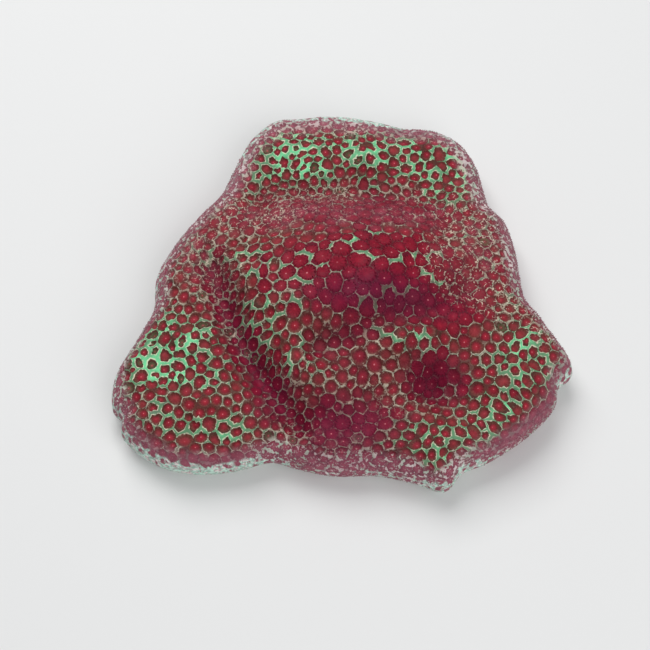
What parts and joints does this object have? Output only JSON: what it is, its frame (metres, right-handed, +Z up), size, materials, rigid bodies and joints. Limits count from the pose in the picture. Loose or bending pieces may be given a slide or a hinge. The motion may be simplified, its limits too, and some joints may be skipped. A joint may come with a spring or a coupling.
{
  "type": "porites coral",
  "caption": "Small encrusting stony coral colony, a lumpy crimson cushion of round cups in mint-green webs, cut flat below to rest on a surface.",
  "frame": {"origin": "centre of the bounding box, on the plane of the flat cut that the colony rests on", "axes": "+Z up from the cut base, +X to the right along the widest way, front towards -Y"},
  "size_m": [0.0946, 0.0856, 0.0239],
  "materials": {
    "living_tissue": "thin damp living skin, crimson cups and mint-green webs, over a pale porous skeleton that shows on the cut"
  },
  "bodies": {
    "root": {"coral_colony": "living_tissue"}
  },
  "joints": []
}
